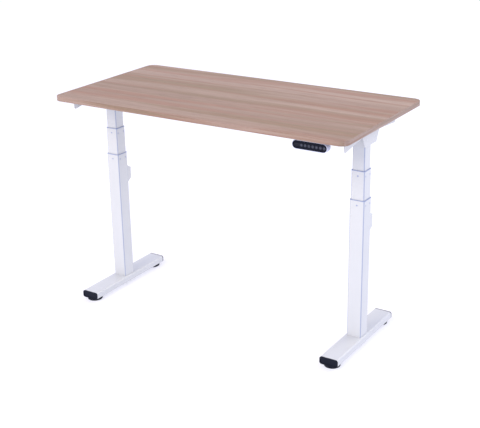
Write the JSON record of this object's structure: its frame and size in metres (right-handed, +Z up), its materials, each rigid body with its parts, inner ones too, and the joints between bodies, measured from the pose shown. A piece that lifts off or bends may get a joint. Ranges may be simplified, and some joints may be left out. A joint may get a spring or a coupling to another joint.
{
  "type": "height adjustable standing desk",
  "caption": "Electric standing desk: a wood-decor top on telescopic square columns with flat feet, lifted by screws and set from a handset under the front edge.",
  "frame": {"origin": "on the floor, under the middle of the top", "axes": "+X to the user's right along the top, +Y to the back, +Z up; the user sits at -Y"},
  "size_m": [1.2, 0.6, 0.831],
  "materials": {
    "wood_decor": "satin",
    "wood_edge": "satin",
    "white_powder_coat": "satin",
    "black_plastic": "matte",
    "grey_guide_plastic": "matte",
    "white_acetal": "satin",
    "ground_steel": "satin",
    "zinc_steel": "satin",
    "cast_aluminium": "matte",
    "motor_steel": "satin",
    "box_plastic": "matte",
    "handset_grey": "satin",
    "gloss_black": "gloss",
    "button_black": "satin"
  },
  "bodies": {
    "left_base": {"left_foot_beam": "white_powder_coat", "left_foot_caps": "black_plastic", "left_foot_bolts": "zinc_steel", "left_outer_tube": "white_powder_coat", "left_outer_guide": "grey_guide_plastic", "left_cable_bridge": "white_powder_coat", "left_fixed_screw": "ground_steel"},
    "left_middle": {"left_middle_tube": "white_powder_coat", "left_middle_guide": "grey_guide_plastic", "left_middle_plug": "white_acetal", "left_screw_bearing": "ground_steel"},
    "left_lift_screw": {"left_lift_screw": "ground_steel"},
    "left_drive_shaft": {"left_drive_shaft": "ground_steel"},
    "left_front_leveller": {"left_front_leveller": "black_plastic"},
    "left_rear_leveller": {"left_rear_leveller": "black_plastic"},
    "right_base": {"right_foot_beam": "white_powder_coat", "right_foot_caps": "black_plastic", "right_foot_bolts": "zinc_steel", "right_outer_tube": "white_powder_coat", "right_outer_guide": "grey_guide_plastic", "right_cable_bridge": "white_powder_coat", "right_fixed_screw": "ground_steel"},
    "right_middle": {"right_middle_tube": "white_powder_coat", "right_middle_guide": "grey_guide_plastic", "right_middle_plug": "white_acetal", "right_screw_bearing": "ground_steel"},
    "right_lift_screw": {"right_lift_screw": "ground_steel"},
    "right_drive_shaft": {"right_drive_shaft": "ground_steel"},
    "right_front_leveller": {"right_front_leveller": "black_plastic"},
    "right_rear_leveller": {"right_rear_leveller": "black_plastic"},
    "top": {"left_inner_tube": "white_powder_coat", "left_inner_nut": "white_acetal", "left_head": "white_powder_coat", "left_gearbox": "cast_aluminium", "left_motor": "motor_steel", "left_side_bracket": "white_powder_coat", "right_inner_tube": "white_powder_coat", "right_inner_nut": "white_acetal", "right_head": "white_powder_coat", "right_gearbox": "cast_aluminium", "right_motor": "motor_steel", "right_side_bracket": "white_powder_coat", "front_rail": "white_powder_coat", "rear_rail": "white_powder_coat", "frame_bolts": "zinc_steel", "control_box_case": "box_plastic", "control_box_lid": "box_plastic", "control_box_sockets": "black_plastic", "handset_housing": "handset_grey", "handset_panel": "gloss_black", "tabletop_board": "wood_decor", "tabletop_edge_band": "wood_edge", "tabletop_screws": "zinc_steel"},
    "handset_button_1": {"handset_button_1": "button_black"},
    "handset_button_2": {"handset_button_2": "button_black"},
    "handset_button_3": {"handset_button_3": "button_black"},
    "handset_button_4": {"handset_button_4": "button_black"},
    "handset_button_5": {"handset_button_5": "button_black"},
    "handset_button_6": {"handset_button_6": "button_black"},
    "handset_button_7": {"handset_button_7": "button_black"}
  },
  "joints": [
    {"name": "left_lift", "type": "slide", "parent": "left_base", "child": "left_middle", "axis": [0, 0, 1], "range_m": [-0.08, 0.235]},
    {"name": "left_upper_lift", "type": "slide", "parent": "left_middle", "child": "top", "axis": [0, 0, 1], "range_m": [-0.08, 0.235]},
    {"name": "right_upper_lift", "type": "slide", "parent": "top", "child": "right_middle", "axis": [0, 0, -1], "range_m": [-0.08, 0.235]},
    {"name": "right_lower_lift", "type": "slide", "parent": "right_middle", "child": "right_base", "axis": [0, 0, -1], "range_m": [-0.08, 0.235]},
    {"name": "left_screw_spin", "type": "hinge", "parent": "left_middle", "child": "left_lift_screw", "pos_m": [-0.53, -0.04, 0.3], "axis": [0, 0, 1], "continuous": true},
    {"name": "left_shaft_spin", "type": "hinge", "parent": "top", "child": "left_drive_shaft", "pos_m": [-0.53, -0.04, 0.3], "axis": [0, 0, 1], "continuous": true},
    {"name": "right_screw_spin", "type": "hinge", "parent": "right_middle", "child": "right_lift_screw", "pos_m": [0.53, -0.04, 0.3], "axis": [0, 0, 1], "continuous": true},
    {"name": "right_shaft_spin", "type": "hinge", "parent": "top", "child": "right_drive_shaft", "pos_m": [0.53, -0.04, 0.3], "axis": [0, 0, 1], "continuous": true},
    {"name": "left_front_levelling", "type": "slide", "parent": "left_base", "child": "left_front_leveller", "axis": [0, 0, -1], "range_m": [0, 0.012]},
    {"name": "left_rear_levelling", "type": "slide", "parent": "left_base", "child": "left_rear_leveller", "axis": [0, 0, -1], "range_m": [0, 0.012]},
    {"name": "right_front_levelling", "type": "slide", "parent": "right_base", "child": "right_front_leveller", "axis": [0, 0, -1], "range_m": [0, 0.012]},
    {"name": "right_rear_levelling", "type": "slide", "parent": "right_base", "child": "right_rear_leveller", "axis": [0, 0, -1], "range_m": [0, 0.012]},
    {"name": "button_1_press", "type": "slide", "parent": "top", "child": "handset_button_1", "axis": [0, 1, 0], "range_m": [0, 0.0008], "stiffness_N_per_m": 600, "springref_m": -0.002},
    {"name": "button_2_press", "type": "slide", "parent": "top", "child": "handset_button_2", "axis": [0, 1, 0], "range_m": [0, 0.0008], "stiffness_N_per_m": 600, "springref_m": -0.002},
    {"name": "button_3_press", "type": "slide", "parent": "top", "child": "handset_button_3", "axis": [0, 1, 0], "range_m": [0, 0.0008], "stiffness_N_per_m": 600, "springref_m": -0.002},
    {"name": "button_4_press", "type": "slide", "parent": "top", "child": "handset_button_4", "axis": [0, 1, 0], "range_m": [0, 0.0008], "stiffness_N_per_m": 600, "springref_m": -0.002},
    {"name": "button_5_press", "type": "slide", "parent": "top", "child": "handset_button_5", "axis": [0, 1, 0], "range_m": [0, 0.0008], "stiffness_N_per_m": 600, "springref_m": -0.002},
    {"name": "button_6_press", "type": "slide", "parent": "top", "child": "handset_button_6", "axis": [0, 1, 0], "range_m": [0, 0.0008], "stiffness_N_per_m": 600, "springref_m": -0.002},
    {"name": "button_7_press", "type": "slide", "parent": "top", "child": "handset_button_7", "axis": [0, 1, 0], "range_m": [0, 0.0008], "stiffness_N_per_m": 600, "springref_m": -0.002}
  ],
  "couplings": [
    {"joint": "left_upper_lift", "follows": "left_lift", "ratio": 1},
    {"joint": "right_upper_lift", "follows": "left_lift", "ratio": 1},
    {"joint": "right_lower_lift", "follows": "left_lift", "ratio": 1},
    {"joint": "left_screw_spin", "follows": "left_lift", "rad_per_m": 523.6},
    {"joint": "left_shaft_spin", "follows": "left_lift", "rad_per_m": 523.6},
    {"joint": "right_screw_spin", "follows": "left_lift", "rad_per_m": 523.6},
    {"joint": "right_shaft_spin", "follows": "left_lift", "rad_per_m": 523.6}
  ]
}
